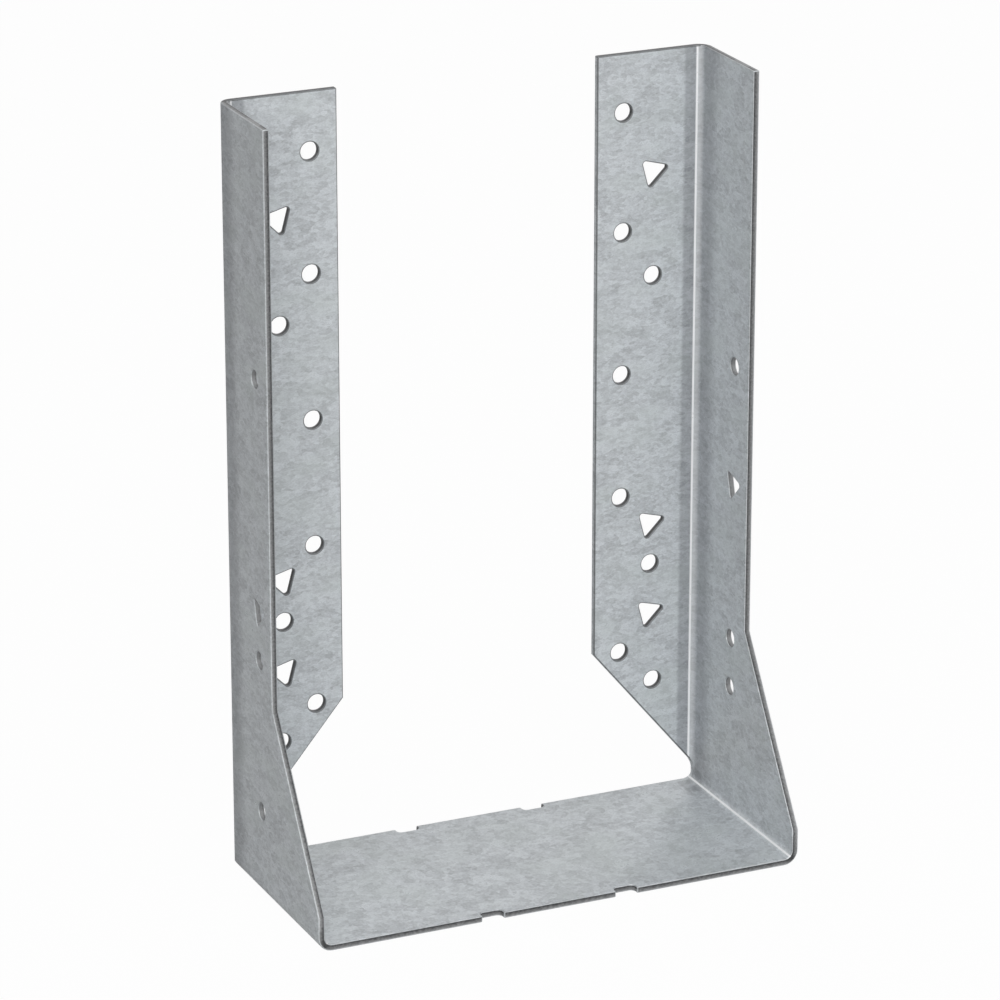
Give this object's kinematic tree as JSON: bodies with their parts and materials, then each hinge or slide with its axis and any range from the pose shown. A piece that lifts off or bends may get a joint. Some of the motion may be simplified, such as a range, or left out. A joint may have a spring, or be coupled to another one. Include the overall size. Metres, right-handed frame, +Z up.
{
  "type": "concealed flange beam hanger",
  "caption": "Folded galvanised steel beam hanger: flat seat, two side plates with sloped feet, and inward flanges with round and triangular fastener holes.",
  "frame": {"origin": "centre of the bounding box's bottom: under the middle of the seat, on its underside", "axes": "+Z up along the side plates, +Y towards the header that the flanges lie against, +X across the width"},
  "size_m": [0.1436, 0.0636, 0.2189],
  "materials": {
    "galvanised_sheet": "galvanised, fine grey spangle, satin"
  },
  "bodies": {
    "root": {"beam_hanger": "galvanised_sheet"}
  },
  "joints": []
}
